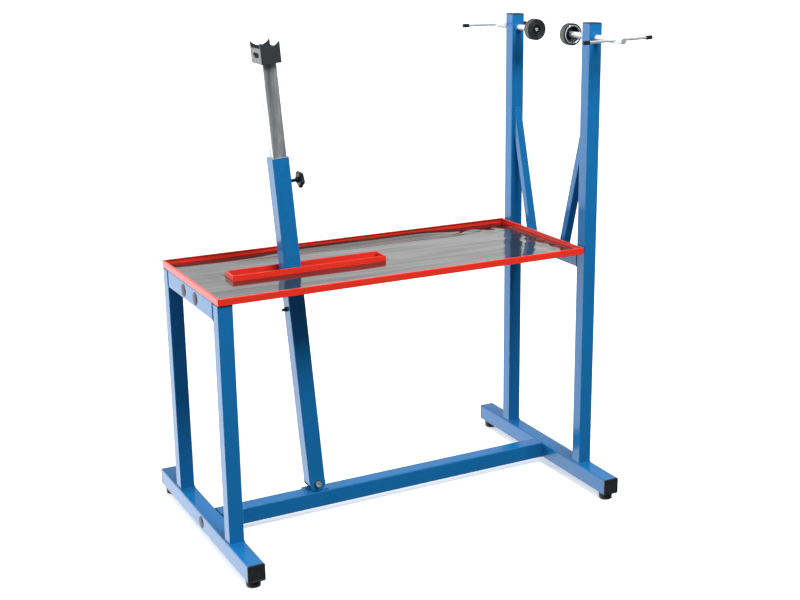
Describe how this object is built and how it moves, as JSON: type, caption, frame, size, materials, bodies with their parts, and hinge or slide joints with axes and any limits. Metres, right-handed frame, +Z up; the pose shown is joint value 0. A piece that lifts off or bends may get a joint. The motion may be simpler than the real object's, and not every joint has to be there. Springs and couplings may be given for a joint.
{
  "type": "bicycle repair stand",
  "caption": "Square-tube bench with a slotted tool tray, a leaning telescopic support with a saddle for the bottom bracket, and two tall posts with opposed screw clamps.",
  "frame": {"origin": "on the floor, in the middle of the whole object's bounding box", "axes": "+X along the bench towards the two tall posts, +Y towards the back, +Z up"},
  "size_m": [1.3086, 0.76, 1.44],
  "materials": {
    "blue_paint": "glossy powder coat",
    "red_paint": "glossy powder coat",
    "anthracite_paint": "satin powder coat",
    "black_plastic": "moulded, fine grain",
    "gloss_black_plastic": "moulded, glossy",
    "sleeve_plastic": "natural nylon",
    "foot_rubber": "moulded",
    "head_rubber": "turned, satin",
    "mat_rubber": "smooth calendered sheet",
    "zinc_steel": "zinc plated",
    "grey_steel": "dark zinc, dull",
    "black_steel": "blackened",
    "galvanised_steel": "bright galvanised",
    "brass": "turned",
    "bright_chrome": "bright plated"
  },
  "bodies": {
    "frame": {"left_foot_beam": "blue_paint", "right_foot_beam": "blue_paint", "beam_end_caps": "black_plastic", "rubber_feet": "foot_rubber", "foot_studs": "zinc_steel", "left_front_leg": "blue_paint", "left_rear_leg": "blue_paint", "leg_caps": "black_plastic", "left_cross_tube": "blue_paint", "access_plugs": "gloss_black_plastic", "front_post": "blue_paint", "rear_post": "blue_paint", "post_caps": "black_plastic", "right_cross_tube": "blue_paint", "front_brace": "blue_paint", "rear_brace": "blue_paint", "lower_beam": "blue_paint", "lower_beam_plug": "black_plastic", "front_rail": "blue_paint", "rear_rail": "blue_paint", "frame_bolts": "zinc_steel", "tray_floor": "red_paint", "tray_rim": "red_paint", "slot_coaming": "red_paint", "tray_mat": "mat_rubber", "tray_screws": "zinc_steel", "pivot_lug": "blue_paint", "pivot_bolt": "zinc_steel", "pivot_nut": "zinc_steel", "front_thread_bush": "blue_paint", "rear_thread_bush": "blue_paint"},
    "support": {"support_outer_tube": "blue_paint", "pivot_bushes": "black_plastic", "guide_sleeve": "sleeve_plastic", "knob_nut": "blue_paint", "stop_bolt": "black_steel"},
    "extension": {"support_inner_tube": "galvanised_steel", "inner_tube_glide": "black_plastic", "cradle_mount_block": "zinc_steel", "cradle_body": "grey_steel", "cradle_front_plate": "anthracite_paint", "cradle_rear_plate": "anthracite_paint", "cradle_bolt": "zinc_steel"},
    "clamp_tip": {"clamp_pad": "brass"},
    "knob": {"clamp_screw": "black_steel", "star_knob": "gloss_black_plastic"},
    "front_head": {"front_head_cup": "zinc_steel", "front_head_rubber": "head_rubber", "front_head_bearing": "black_steel"},
    "front_screw": {"front_spindle": "bright_chrome", "front_retaining_screw": "zinc_steel"},
    "front_handle": {"front_bar": "bright_chrome", "front_bar_caps": "gloss_black_plastic"},
    "rear_head": {"rear_head_cup": "zinc_steel", "rear_head_rubber": "head_rubber", "rear_head_bearing": "black_steel"},
    "rear_screw": {"rear_spindle": "bright_chrome", "rear_retaining_screw": "zinc_steel"},
    "rear_handle": {"rear_bar": "bright_chrome", "rear_bar_caps": "gloss_black_plastic"}
  },
  "joints": [
    {"name": "support_tilt", "type": "hinge", "parent": "frame", "child": "support", "pos_m": [-0.29423, 0, 0.1], "axis": [0, 1, 0], "range_deg": [-12, 21]},
    {"name": "support_extend", "type": "slide", "parent": "support", "child": "extension", "axis": [-0.0785, 0, 0.9969], "range_m": [-0.235, 0.09]},
    {"name": "knob_feed", "type": "slide", "parent": "support", "child": "clamp_tip", "axis": [0.9969, 0, 0.0785], "range_m": [0, 0.003]},
    {"name": "knob_turn", "type": "hinge", "parent": "clamp_tip", "child": "knob", "pos_m": [-0.36649, 0, 1.01816], "axis": [0.9969, 0, 0.0785], "range_deg": [0, 720]},
    {"name": "front_feed", "type": "slide", "parent": "frame", "child": "front_head", "axis": [0, -1, 0], "range_m": [-0.072, 0.072]},
    {"name": "front_turn", "type": "hinge", "parent": "front_head", "child": "front_screw", "pos_m": [0.52877, -0.092, 1.398], "axis": [0, -1, 0], "range_deg": [-6480, 6480]},
    {"name": "front_handle_slide", "type": "slide", "parent": "front_screw", "child": "front_handle", "axis": [0.9997, 0, 0.0262], "range_m": [-0.094, 0.08]},
    {"name": "rear_feed", "type": "slide", "parent": "frame", "child": "rear_head", "axis": [0, 1, 0], "range_m": [-0.072, 0.072]},
    {"name": "rear_turn", "type": "hinge", "parent": "rear_head", "child": "rear_screw", "pos_m": [0.52877, 0.084, 1.398], "axis": [0, 1, 0], "range_deg": [-6480, 6480]},
    {"name": "rear_handle_slide", "type": "slide", "parent": "rear_screw", "child": "rear_handle", "axis": [1, 0, 0], "range_m": [-0.08, 0.095]}
  ],
  "couplings": [
    {"joint": "knob_feed", "follows": "knob_turn", "m_per_rad": 0.00023873},
    {"joint": "front_feed", "follows": "front_turn", "m_per_rad": 0.00063662},
    {"joint": "rear_feed", "follows": "rear_turn", "m_per_rad": 0.00063662}
  ]
}
